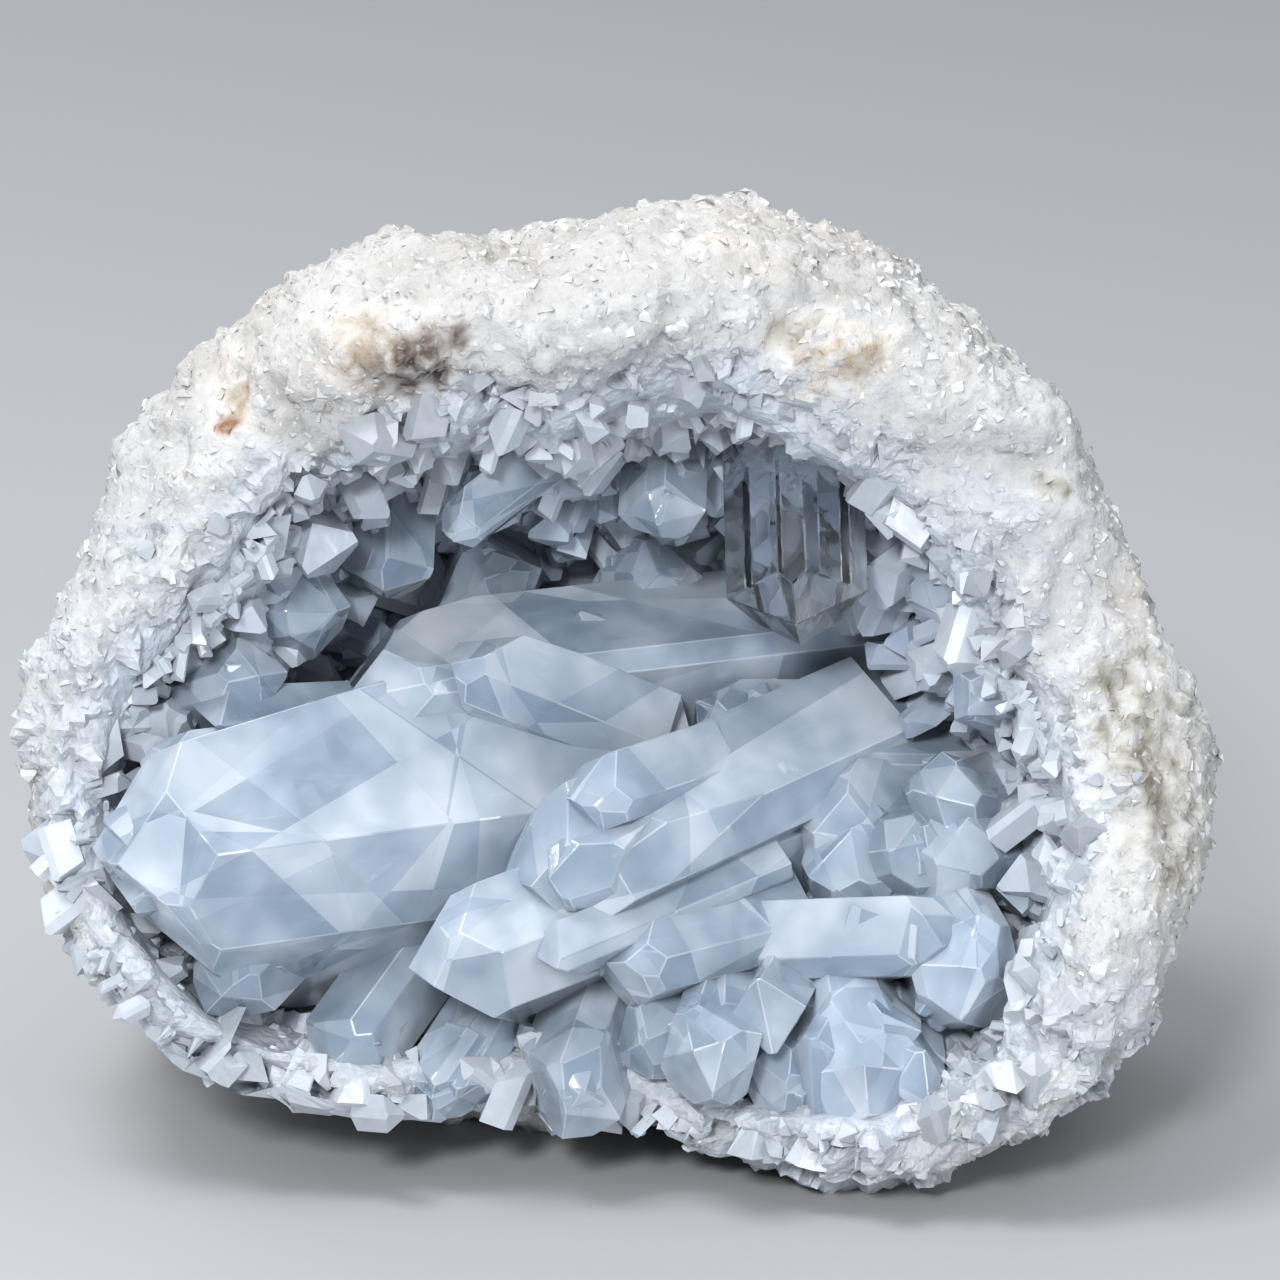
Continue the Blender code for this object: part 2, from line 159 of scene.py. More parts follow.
def broken_grains(places, steep, proud, wide):
    """The height of a surface broken into grains, each with one flat face tilted its own way."""
    noise.seed_set(TILT_SEED)  # without a seed, noise_vector starts from the clock
    heights = []
    for place in places:
        at = Vector(place) / wide
        middle = noise.voronoi(at)[1][0]
        # noise at a grain's middle gives the whole grain one tilt and one height
        tilt = noise.noise_vector(middle * 7.3) * 2.2
        stands_out = noise.noise(middle * 5.1) * 2
        heights.append(wide * steep * (at - middle).dot(tilt) + proud * stands_out)
    return np.array(heights)


def add_attribute(piece, name, kind, values):
    """Gives each point of a piece its own value or colour."""
    made = piece.data.attributes.new(name, kind, "POINT")
    field = {"FLOAT": "value", "FLOAT_COLOR": "color"}[kind]
    made.data.foreach_set(field, np.ascontiguousarray(values, dtype=np.float32).ravel())


def make_stone():
    """The CAD rind with its loose triangles joined up, a fine even mesh and no facets."""
    mesh = bmesh.new()
    mesh.from_mesh(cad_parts["rind"].data)
    bmesh.ops.remove_doubles(mesh, verts=mesh.verts, dist=1e-7)
    stone = new_piece("rind_stone", mesh)
    remesh = stone.modifiers.new("even_mesh", "REMESH")
    remesh.mode = "VOXEL"
    remesh.voxel_size = STONE_VOXEL * MM
    soften = stone.modifiers.new("soften_facets", "SMOOTH")
    soften.factor = 0.5
    soften.iterations = SMOOTHING_ROUNDS
    settle(stone)
    return stone


def distance_to_crust(points):
    """How far each point is from the CAD crust, in mm."""
    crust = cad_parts["crystal_crust"].data
    crust.calc_loop_triangles()
    tree = BVHTree.FromPolygons(
        [v.co for v in crust.vertices], [t.vertices for t in crust.loop_triangles]
    )
    return np.array([tree.find_nearest(Vector(point))[3] for point in points]) / MM


def roughen(stone):
    """Gives the stone's open surface its lumps and grain, and keeps its flat spot flat."""
    points = points_of(stone)
    places = face_on(points)
    away = distance_to_crust(points)
    normals = np.array([v.normal for v in stone.data.vertices])
    open_stone = ramp(away, UNDER_CRYSTALS, UNDER_CRYSTALS + 2.0)
    height = sum(
        high * noise_over(places, apart, start) for high, apart, start in STONE_ROUGHNESS
    )
    glassy = glassy_share(places, away)
    height += (1 - glassy) * broken_grains(places, *CHALKY_GRAINS)
    height += glassy * broken_grains(places, *GLASSY_GRAINS)
    points += normals * (height * open_stone * MM)[:, None]
    points[:, 2] = np.maximum(points[:, 2], 0.0)
    stone.data.vertices.foreach_set("co", points.ravel())
    stone.data.update()
    return places, away


def glassy_share(places, away):
    """How much of the stone is clear crystal: 1 at the hollow, and further in some places."""
    front = broken_side(places)
    wander = noise_over(places, 7.0, 5.0) + 0.6 * noise_over(places, 3.0, 9.0)
    glassy = 1.0 - ramp(away + 2.6 * wander, 1.5, 8.5)
    for middle, radii, strength in GLASSY_RIM:
        further = front * strength * blob(places, middle, radii) * (1 + 0.5 * wander)
        glassy = np.maximum(glassy, further)
    return np.clip(glassy, 0.0, 1.0)


def mark_stone(stone, places, away):
    """Marks where crystal, white grains and earth are, for the finish and what grows there."""
    front = broken_side(places)
    glassy = glassy_share(places, away)
    covered = 1.0 - ramp(away, UNDER_CRYSTALS, UNDER_CRYSTALS + 0.4)
    earth = np.tile((1.0, 1.0, 1.0, 0.0), (len(places), 1))
    patchy = 0.75 + 0.9 * noise_over(places, 1.7, 14.0) + 0.5 * noise_over(places, 0.8, 17.0)
    for middle, radii, strength, colour in EARTH:
        share = front * strength * blob(places, middle, radii) * patchy
        share = np.clip(share, 0.0, 1.0)[:, None]
        earth[:, :3] = earth[:, :3] * (1 - share) + np.array(colour) * share
        earth[:, 3:] = earth[:, 3:] * (1 - share) + share
    add_attribute(stone, "glassy", "FLOAT", glassy)
    add_attribute(stone, "earth", "FLOAT_COLOR", earth)
    grains_stand, crystals_stand = lifted(stone, GRAINS_FROM), lifted(stone, CRYSTALS_FROM)
    chalky = 1 - ramp(glassy, 0.5, 0.95)
    add_attribute(stone, "front_seat", "FLOAT", front * chalky * (1 - covered) * grains_stand)
    add_attribute(stone, "back_seat", "FLOAT", (1 - front) * (1 - covered) * grains_stand)
    # the rim's left side broke smooth, with few whole crystals on it
    smooth_side = ramp(-places[:, 0], 20.0, 34.0)
    rim_seat = ramp(glassy, 0.25, 0.75) * (1 - covered) * crystals_stand
    add_attribute(stone, "rim_seat", "FLOAT", rim_seat * (1 - 0.8 * smooth_side))
    return covered, glassy > CRISP_FROM


class Wire:
    """One output of a node. Python's operators on it add Math nodes, and make() any other."""

    def __init__(self, tree, socket=None):
        self.tree = tree
        self.socket = socket

    def make(self, kind, settings=None, sockets=None, output=0):
        """Adds a node with its settings, then its sockets' values or links, and gives one of
        its outputs. Sockets go by name or by number."""
        node = self.tree.nodes.new(kind)
        for name, value in (settings or {}).items():
            setattr(node, name, value)
        for key, value in (sockets or {}).items():
            socket = self.find(node.inputs, key)
            if isinstance(value, Wire):
                self.tree.links.new(value.socket, socket)
            else:
                socket.default_value = value
        return Wire(self.tree, self.find(node.outputs, output) if len(node.outputs) else None)

    @staticmethod
    def find(sockets, key):
        if isinstance(key, int):
            return sockets[key]
        return next(s for s in sockets if s.name == key and s.enabled)

    def math(self, operation, first, second):
        return self.make("ShaderNodeMath", {"operation": operation}, {0: first, 1: second})

    def __add__(self, other):
        return self.math("ADD", self, other)

    __radd__ = __add__

    def __sub__(self, other):
        return self.math("SUBTRACT", self, other)

    def __rsub__(self, other):
        return self.math("SUBTRACT", other, self)

    def __mul__(self, other):
        return self.math("MULTIPLY", self, other)

    __rmul__ = __mul__

    def __truediv__(self, other):
        return self.math("DIVIDE", self, other)

    def __rtruediv__(self, other):
        return self.math("DIVIDE", other, self)

    def between(self, low, high):
        """0 below low and 1 above high, smooth between them."""
        settings = {"interpolation_type": "SMOOTHSTEP"}
        return self.make("ShaderNodeMapRange", settings, {0: self, 1: low, 2: high})

    def mixed(self, first, second):
        """This share of the second colour in the first."""
        sockets = {"Factor": self, "A": first, "B": second}
        return self.make("ShaderNodeMix", {"data_type": "RGBA"}, sockets, "Result")


def new_finish(name):
    """A material without nodes, and the wire that its nodes are made from."""
    finish = bpy.data.materials.new(name)
    finish.use_nodes = True
    finish.node_tree.nodes.clear()
    return finish, Wire(finish.node_tree)


def attribute(start, name, output="Fac"):
    """What a piece's own attribute says at each place."""
    return start.make("ShaderNodeAttribute", {"attribute_name": name}, output=output)


def grain(start, places, size, detail=3.0):
    """Noise whose lumps are about this many mm apart."""
    sockets = {"Vector": places, "Scale": 1 / (size * MM), "Detail": detail, "Roughness": 0.55}
    return start.make("ShaderNodeTexNoise", None, sockets, "Fac")


def bumped(start, height, strength, distance, **more):
    """A bump that raises the surface by up to this many mm."""
    sockets = {"Strength": strength, "Distance": distance * MM, "Height": height, **more}
    return start.make("ShaderNodeBump", None, sockets)


def stained(start, colour, fine):
    """The colour under the earth that stayed in the stone, which is thinner in fine spots."""
    share = (attribute(start, "earth", "Alpha") * 1.5).between(0.05, 1.0)
    share = share * (0.55 + fine.between(0.3, 0.6) * 0.45)
    return share.mixed(colour, attribute(start, "earth", "Color"))


def stone_finish():
    """Chalky white with faint grey and warm mottling, greyer and clearer near the crystals."""
    finish, start = new_finish("sugary_white_stone")
    places = start.make("ShaderNodeTexCoord", output="Object")
    glassy = attribute(start, "glassy")
    broad = grain(start, places, 9.0)
    fine = grain(start, places, 0.9)
    chalk = broad.between(0.35, 0.68).mixed((0.63, 0.625, 0.62, 1), (0.53, 0.52, 0.505, 1))
    dust = grain(start, places, 15.0, 2.0).between(0.52, 0.75)
    chalk = (dust * 0.5).mixed(chalk, (0.50, 0.45, 0.37, 1))
    chalk = (fine.between(0.44, 0.30) * 0.55).mixed(chalk, (0.46, 0.45, 0.43, 1))
    clear = fine.between(0.35, 0.7).mixed((0.50, 0.57, 0.66, 1), (0.68, 0.74, 0.82, 1))
    colour = stained(start, (glassy * 0.85).mixed(chalk, clear), fine)
    surface = start.make("ShaderNodeBsdfPrincipled", None, {
        "Base Color": colour, "Roughness": 0.82 - glassy * 0.45,
        "Normal": bumped(start, fine, 0.7, 0.45),
    })
    start.make("ShaderNodeOutputMaterial", None, {"Surface": surface})
    return finish


stone = make_stone()
stone_places, stone_away = roughen(stone)
stone_covered, stone_crisp = mark_stone(stone, stone_places, stone_away)
stone.data.materials.append(stone_finish())
for face in stone.data.polygons:
    face.use_smooth = not stone_crisp[face.vertices[0]]
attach(stone, "root")
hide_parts("rind")

# The sugar on the stone: celestite grains about a millimetre across, with the dull corners of
# broken crystal. They are part of the stone, and lie closer together on its broken front.
GRAIN_SHAPES = 5
GRAIN_CORNERS = 9
GRAIN_FLATNESS = 0.85
GRAIN_SHAPE_SEED, GRAIN_SCATTER_SEED = 4, 3
POINTS_TRIED = 1.6  # in each square as wide as the least distance, before the close ones go
LEAST_SHARE = 0.45  # of its full size, where the attribute that sizes a shape is 0
# How far apart the grains lie, and their least and greatest size, in mm.
GRAINS = {"front": (0.82, 0.75, 2.0), "back": (1.15, 1.0, 2.4)}


def grain_shapes():
    """A few angular grains, 1 mm across, that the scattering draws from."""
    draw = random.Random(GRAIN_SHAPE_SEED)
    shapes = bpy.data.collections.new("grain_shapes")
    for i in range(GRAIN_SHAPES):
        mesh = bmesh.new()
        for _ in range(GRAIN_CORNERS):
            corner = Vector([draw.gauss(0, 1) for _ in range(3)]).normalized()
            mesh.verts.new(Vector((corner.x, corner.y, GRAIN_FLATNESS * corner.z)) * 0.5 * MM)
        hull = bmesh.ops.convex_hull(mesh, input=mesh.verts)
        bmesh.ops.delete(mesh, geom=hull["geom_interior"], context="VERTS")
        bmesh.ops.recalc_face_normals(mesh, faces=mesh.faces)
        shape = new_piece(f"grain_shape_{i}", mesh)
        bpy.context.scene.collection.objects.unlink(shape)
        shapes.objects.link(shape)
    return shapes


def scatter_tree():
    """Stands shapes all over a surface, by the share that one of its attributes gives. Each
    leans out of the surface's normal, turned its own way and sunk by a share of its size."""
    tree = bpy.data.node_groups.new("scatter_on_surface", "GeometryNodeTree")
    sockets = [
        ("Geometry", "NodeSocketGeometry"), ("Shapes", "NodeSocketCollection"),
        ("Finish", "NodeSocketMaterial"), ("Where", "NodeSocketString"),
        ("Apart", "NodeSocketFloat"), ("Least size", "NodeSocketFloat"),
        ("Greatest size", "NodeSocketFloat"), ("Lean", "NodeSocketFloat"),
        ("Sunk", "NodeSocketFloat"), ("Seed", "NodeSocketInt"), ("Size by", "NodeSocketString"),
    ]
    for name, kind in sockets:
        tree.interface.new_socket(name, in_out="INPUT", socket_type=kind)
    tree.interface.new_socket("Geometry", in_out="OUTPUT", socket_type="NodeSocketGeometry")
    start = Wire(tree)
    given = tree.nodes.new("NodeGroupInput")
    value = {name: Wire(tree, given.outputs[name]) for name, _ in sockets}

    def share_by(name):
        kind = {"data_type": "FLOAT"}
        return start.make("GeometryNodeInputNamedAttribute", kind, {"Name": value[name]})

    def any_way(seed):
        kind, ends = {"data_type": "FLOAT_VECTOR"}, {0: (-1, -1, -1), 1: (1, 1, 1)}
        return start.make("FunctionNodeRandomValue", kind, {**ends, "Seed": seed}, 0)

    def any_share(seed):
        kind, ends = {"data_type": "FLOAT"}, {2: 0.0, 3: 1.0}
        return start.make("FunctionNodeRandomValue", kind, {**ends, "Seed": seed}, 1)

    points = start.make("GeometryNodeDistributePointsOnFaces", {"distribute_method": "POISSON"}, {
        "Mesh": value["Geometry"], "Distance Min": value["Apart"],
        "Density Max": POINTS_TRIED / (value["Apart"] * value["Apart"]),
        "Density Factor": share_by("Where"), "Seed": value["Seed"],
    })
    normal = Wire(tree, points.socket.node.outputs["Normal"])
    lean = start.make("ShaderNodeCombineXYZ", None, {i: value["Lean"] for i in range(3)})
    along = start.make("ShaderNodeVectorMath", {"operation": "MULTIPLY_ADD"}, {
        0: any_way(value["Seed"] + 1), 1: lean, 2: normal,
    })
    upright = start.make("FunctionNodeAlignRotationToVector", {"axis": "Z"}, {"Vector": along})
    turned = start.make(
        "FunctionNodeAlignRotationToVector", {"axis": "X", "pivot_axis": "Z"},
        {"Rotation": upright, "Vector": any_way(value["Seed"] + 2)},
    )
    grown = any_share(value["Seed"] + 3)
    most = value["Greatest size"] - value["Least size"]
    size = value["Least size"] + most * grown * grown
    size = size * (LEAST_SHARE + share_by("Size by") * (1 - LEAST_SHARE))
    sunk = start.make("ShaderNodeVectorMath", {"operation": "SCALE"}, {
        0: normal, "Scale": value["Sunk"] * size * -1.0,
    })
    seated = start.make("GeometryNodeSetPosition", None, {"Geometry": points, "Offset": sunk})
    shapes = start.make("GeometryNodeCollectionInfo", None, {
        "Collection": value["Shapes"], "Separate Children": True, "Reset Children": True,
    })
    standing = start.make("GeometryNodeInstanceOnPoints", None, {
        "Points": seated, "Instance": shapes, "Pick Instance": True, "Rotation": turned,
        "Scale": size,
    })
    tinted = start.make(
        "GeometryNodeStoreNamedAttribute", {"data_type": "FLOAT", "domain": "INSTANCE"},
        {"Geometry": standing, "Name": "tint", "Value": any_share(value["Seed"] + 4)},
    )
    joined = start.make("GeometryNodeRealizeInstances", None, {"Geometry": tinted})
    finished = start.make("GeometryNodeSetMaterial", None, {
        "Geometry": joined, "Material": value["Finish"],
    })
    start.make("NodeGroupOutput", None, {"Geometry": finished})
    return tree


def scattered(name, seat, shapes, finish, **sizes):
    """A new piece of shapes scattered over the seat, as a plain mesh."""
    piece = bpy.data.objects.new(name, seat.data.copy())
    bpy.context.scene.collection.objects.link(piece)
    scatter = piece.modifiers.new("scatter", "NODES")
    scatter.node_group = SCATTER
    given = {"Shapes": shapes, "Finish": finish}
    given.update((key.replace("_", " "), value) for key, value in sizes.items())
    for item in SCATTER.interface.items_tree:
        if item.in_out == "INPUT" and item.name in given:
            scatter[item.identifier] = given[item.name]
    settle(piece)
    piece.data.materials.clear()
    piece.data.materials.append(finish)
    return piece


def grain_finish():
    """White to water-clear grains, each a little different, stained where earth stayed."""
    finish, start = new_finish("sugar_grains")
    places = start.make("ShaderNodeTexCoord", output="Object")
    tint = attribute(start, "tint")
    colour = tint.mixed((0.54, 0.54, 0.545, 1), (0.74, 0.74, 0.735, 1))
    colour = (attribute(start, "glassy") * 0.8).mixed(colour, (0.62, 0.69, 0.77, 1))
    colour = stained(start, colour, grain(start, places, 0.9, 2.0))
    surface = start.make(
        "ShaderNodeBsdfPrincipled", None, {"Base Color": colour, "Roughness": 0.6 - tint * 0.48}
    )
    start.make("ShaderNodeOutputMaterial", None, {"Surface": surface})
    return finish


SCATTER = scatter_tree()
grains = grain_shapes()
sugar = grain_finish()
for side, (apart, least, greatest) in GRAINS.items():
    piece = scattered(
        f"sugar_on_the_{side}", stone, grains, sugar, Where=f"{side}_seat", Apart=apart * MM,
        Least_size=least, Greatest_size=greatest, Lean=0.8, Sunk=0.24 * MM,
        Seed=GRAIN_SCATTER_SEED, Size_by=f"{side}_seat",
    )
    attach(piece, "root")

# The lining is the layer of grown-together crystal that the hollow's crystals stand on. It is
# milky blue, follows the stone and thins to nothing where it laps over the broken rim.
LINING_RISE = 2.9  # how far it stands off the stone in the hollow, in mm
LINING_DEPTH = 3.6  # how far its sheet then reaches back into the stone, in mm
LINING_BLOCKS, LINING_FACETS = 0.4, 0.7  # how strongly its blocks and broken facets stand out
LINING_EDGE_SUNK = 0.25
# Where it is thicker: place face on, radii and how much, in mm.
LINING_BULGES = [((-33.0, 8.0), (8.0, 8.0), 2.6), ((33.0, 2.0), (5.0, 9.0), 2.0)]


def make_lining():
    """A sheet lifted off the covered stone, with its edge sunk into it. The sheet is given its depth after
    this.
    """
    mesh = bmesh.new()
    mesh.from_mesh(stone.data)
    mesh.verts.ensure_lookup_table()
    mesh.normal_update()
    bare = [v for v in mesh.verts if stone_covered[v.index] < 0.05]
    deep = ramp(-stone_places[:, 2], -8.0, 8.0)
    broken = broken_grains(stone_places, *GLASSY_GRAINS)
    bulge = sum(
        much * blob(stone_places, middle, radii) for middle, radii, much in LINING_BULGES
    )
    for vert in mesh.verts:
        i, place = vert.index, Vector(stone_places[vert.index])
        blocky = noise.cell(place / 1.9) - 0.5 + noise.noise(place / 5.0)
        thick = LINING_RISE * deep[i] + bulge[i]
        rise = stone_covered[i] * (thick + LINING_BLOCKS * blocky + LINING_FACETS * broken[i])
        vert.co += vert.normal * (rise - LINING_EDGE_SUNK) * MM
    bmesh.ops.delete(mesh, geom=bare, context="VERTS")
    for face in mesh.faces:
        face.smooth = False
    return new_piece("crystal_lining", mesh)


def mark_depth(piece):
    """1 where the hollow is deepest and 0 out on the broken rim."""
    inwards = -face_on(points_of(piece))[:, 2]
    add_attribute(piece, "deep", "FLOAT", ramp(inwards, -11.0, 7.0))


def crystal_shader(start, colour, roughness, bump, **more):
    """Celestite, milky unless it is given a Transmission Weight."""
    return start.make("ShaderNodeBsdfPrincipled", None, {
        "Base Color": colour, "Roughness": roughness, "IOR": 1.62, "Normal": bump, **more,
    })


def lining_finish():
    """Milky blue in the hollow and greyer out on the rim."""
    finish, start = new_finish("milky_lining")
    places = start.make("ShaderNodeTexCoord", output="Object")
    broad = grain(start, places, 5.0)
    fine = grain(start, places, 1.2, 4.0)
    blue = broad.between(0.35, 0.65).mixed((0.56, 0.67, 0.84, 1), (0.74, 0.82, 0.92, 1))
    colour = attribute(start, "deep").mixed((0.62, 0.68, 0.75, 1), blue)
    surface = crystal_shader(start, colour, 0.28 + fine * 0.2, bumped(start, fine, 0.5, 0.4))
    start.make("ShaderNodeOutputMaterial", None, {"Surface": surface})
    return finish


lining = make_lining()
depth = lining.modifiers.new("depth", "SOLIDIFY")
depth.thickness = LINING_DEPTH * MM
depth.offset = -1.0
settle(lining)
lining.data.materials.clear()
lining.data.materials.append(lining_finish())
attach(lining, "root")

# The small crystals are celestite prisms of one to nine millimetres with chisel tips. They grow
# in a close turf out of the lining, and smaller ones and broken bits stand on the broken rim.
CORNERED_WIDTH = 7.0  # a crystal wider than this, in mm, has four more faces at its tip
RIDGE = 0.55  # how far a sharp ridge stands past a flat one, in shares of half the thickness
FLAT_SHARE = 0.4
# Width and thickness for a crystal 1 mm long, and the slopes of its two tip faces in degrees.
PRISM_SHAPES = [
    (0.62, 0.44, (34, 48)), (0.50, 0.42, (26, 38)), (0.78, 0.52, (44, 30)), (0.42, 0.34, (38, 38)),
    (0.95, 0.60, (22, 52)), (0.55, 0.30, (50, 28)), (0.80, 0.74, (30, 34)),
]
SEE_THROUGH = {"Transmission Weight": 1.0}
# Where the turf leaves the hanging prism room, and where the lip is smooth: place and radii.
HANGING_PRISM_ROOM = ((15.6, 17.0), (6.5, 9.0))
SMOOTH_LIP = ((-29.0, -32.0), (17.0, 8.0))


def cut_off(mesh, direction, point):
    """Cuts away what lies beyond a plane and closes the cut with a face."""
    everything = [*mesh.verts, *mesh.edges, *mesh.faces]
    cut = bmesh.ops.bisect_plane(
        mesh, geom=everything, dist=1e-6, plane_co=point, plane_no=direction, clear_outer=True
    )
    edges = [e for e in cut["geom_cut"] if isinstance(e, bmesh.types.BMEdge)]
    if edges:
        bmesh.ops.contextual_create(mesh, geom=edges)


def cut_crystal(length, width, thickness, tip_slopes, flat_share, facets=0, seed=0):
    """A celestite crystal along +Z: four long dome faces, a flat one on each broad side where
    the ridge is worn flat, and two faces of unlike slope that meet in a chisel edge. Facets
    are corners broken off."""
    half_width, half_thick = width / 2, thickness / 2
    ridge = half_thick * (1 + RIDGE * (1 - flat_share))
    dome = Vector((1 / half_width, 1 / ridge, 0))
    planes = [((0, side, 0), (0, side * half_thick, 0)) for side in (-1, 1)]
    planes += [
        ((x * dome.x, y * dome.y, 0), (x * half_width, 0, 0)) for x in (-1, 1) for y in (-1, 1)
    ]
    for side, slope in zip((1, -1), tip_slopes):
        turn = math.radians(90 - slope)
        planes.append(((side * math.cos(turn), 0.06, math.sin(turn)), (0, 0, length)))
        if width > CORNERED_WIDTH:
            planes.append(((side * 0.55, 0.62, 0.56), (0, half_thick * 0.45, length)))
            planes.append(((side * 0.30, -0.78, 0.54), (0, -half_thick * 0.50, length)))
    mesh = bmesh.new()
    size = Matrix.Diagonal((width * 2, thickness * 2, length * 2, 1))
    bmesh.ops.create_cube(mesh, size=1.0, matrix=Matrix.Translation((0, 0, length)) @ size)
    for direction, point in planes:
        cut_off(mesh, direction, point)
    draw = random.Random(seed)
    for _ in range(facets):
        turn, rise = draw.uniform(0, 2 * math.pi), draw.uniform(-0.1, 1.6)
        direction = Vector((math.cos(turn), math.sin(turn), rise)).normalized()
        corner = max(mesh.verts, key=lambda v: v.co.dot(direction))
        cut_off(mesh, direction, corner.co - direction * draw.uniform(0.02, 0.10) * width)
    bmesh.ops.recalc_face_normals(mesh, faces=mesh.faces)
    return mesh


def prism_shapes():
    """The small crystals, 1 mm long, that the scattering draws from."""
    shapes = bpy.data.collections.new("prism_shapes")
    for i, (width, thickness, slopes) in enumerate(PRISM_SHAPES):
        mesh = cut_crystal(1.0, width, thickness, slopes, FLAT_SHARE)
        mesh.transform(Matrix.Scale(MM, 4))
        shape = new_piece(f"prism_shape_{i}", mesh)
        bpy.context.scene.collection.objects.unlink(shape)
        shapes.objects.link(shape)
    return shapes


def clouded(start, veil, clear, milky):
    """A mix of two shaders, more of the milky one where the veil is thicker."""
    return start.make("ShaderNodeMixShader", None, {0: veil, 1: clear, 2: milky})


def small_crystal_finish(name, milky_share, milk, clear):
    """Clear crystal with milky ones among it: each crystal's tint decides how milky it is."""
    finish, start = new_finish(name)
    places = start.make("ShaderNodeTexCoord", output="Object")
    tint = attribute(start, "tint")
    cloud = grain(start, places, 2.0, 2.0)
    bump = bumped(start, cloud, 0.2, 0.3)
    milk = attribute(start, "deep").mixed((0.64, 0.71, 0.80, 1), milk)
    colour = (tint * 0.5 + cloud * 0.4).mixed(milk, (0.80, 0.86, 0.94, 1))
    surface = clouded(
        start, tint * 0.25 + cloud * 0.2 + milky_share,
        crystal_shader(start, clear, 0.03 + cloud * 0.06, bump, **SEE_THROUGH),
        crystal_shader(start, colour, 0.10 + cloud * 0.25, bump),
    )
    start.make("ShaderNodeOutputMaterial", None, {"Surface": surface})
    return finish


prisms = prism_shapes()
lining_places = face_on(points_of(lining))
outwards = lining_places[:, 2]
by_hanging_prism = blob(lining_places, *HANGING_PRISM_ROOM) * ramp(outwards, -14.0, -6.0)
smooth = ramp(blob(lining_places, *SMOOTH_LIP), 0.2, 0.6) * ramp(outwards, -3.0, 2.0)
open_wall = (1.0 - ramp(by_hanging_prism, 0.2, 0.6)) * (1.0 - 0.93 * smooth)
add_attribute(lining, "open_wall", "FLOAT", open_wall * lifted(lining, CRYSTALS_FROM))
add_attribute(lining, "width_by_depth", "FLOAT", 0.35 + 0.65 * ramp(-outwards, -12.0, 2.0))
mark_depth(lining)
mark_depth(stone)
wall_finish = small_crystal_finish(
    "small_clear_crystals", 0.6, (0.56, 0.71, 0.94, 1), (0.90, 0.95, 1.0, 1)
)
turf = scattered(
    "wall_crystals", lining, prisms, wall_finish, Where="open_wall", Apart=2.2 * MM,
    Least_size=3.2, Greatest_size=8.6, Lean=0.65, Sunk=0.36 * MM, Seed=21,
    Size_by="width_by_depth",
)
rim_finish = small_crystal_finish(
    "rim_crystals", 0.4, (0.68, 0.77, 0.88, 1), (0.97, 0.985, 1.0, 1)
)
rim_turf = scattered(
    "rim_crystals", stone, prisms, rim_finish, Where="rim_seat", Apart=3.1 * MM,
    Least_size=2.0, Greatest_size=6.0, Lean=0.8, Sunk=0.60 * MM, Seed=40, Size_by="rim_seat",
)
rim_chunks = scattered(
    "rim_chunks", stone, grains, sugar, Where="rim_seat", Apart=1.35 * MM,
    Least_size=1.4, Greatest_size=4.8, Lean=0.9, Sunk=0.30 * MM, Seed=60, Size_by="rim_seat",
)
for piece in (turf, rim_turf, rim_chunks):
    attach(piece, "root")

